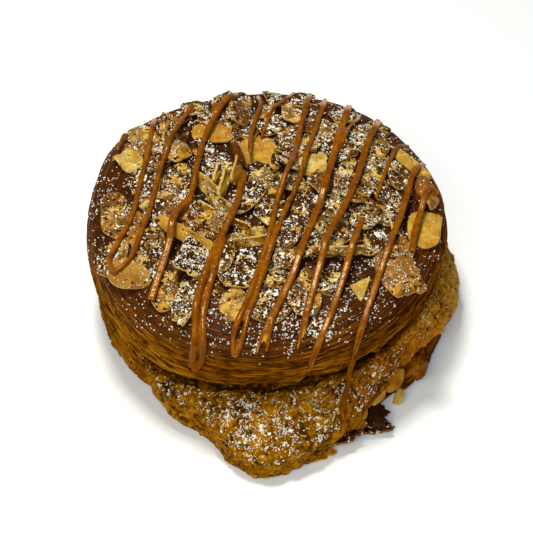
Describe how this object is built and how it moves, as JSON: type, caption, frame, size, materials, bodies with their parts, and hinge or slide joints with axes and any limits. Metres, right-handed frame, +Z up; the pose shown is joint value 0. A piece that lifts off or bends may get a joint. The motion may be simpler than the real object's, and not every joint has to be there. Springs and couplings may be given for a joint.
{
  "type": "twice-baked croissant",
  "caption": "Round laminated croissant sliced level, filled with almond cream that spills over the front, topped with flaked almonds and caramel threads.",
  "frame": {"origin": "middle of the round's flat underside, on the surface that it rests on", "axes": "+Z up, -Y towards the spill of cream at the front, +X to the right seen from the front"},
  "size_m": [0.1071, 0.117, 0.047],
  "materials": {
    "pastry_wall": "baked laminated pastry, golden brown, matt",
    "baked_cream": "baked almond cream crust, olive brown, rough, dusted with sugar",
    "pastry_crown": "dark baked crown, slightly glazed, dusted with sugar",
    "flaked_almond": "toasted almond flakes, pale to golden, smooth and dusted",
    "caramel": "set caramel, glossy, brown",
    "sugar_dust": "white icing sugar in small clumps"
  },
  "bodies": {
    "root": {"pastry_base": "pastry_wall", "almond_cream": "baked_cream", "pastry_top": "pastry_crown"}
  },
  "joints": []
}
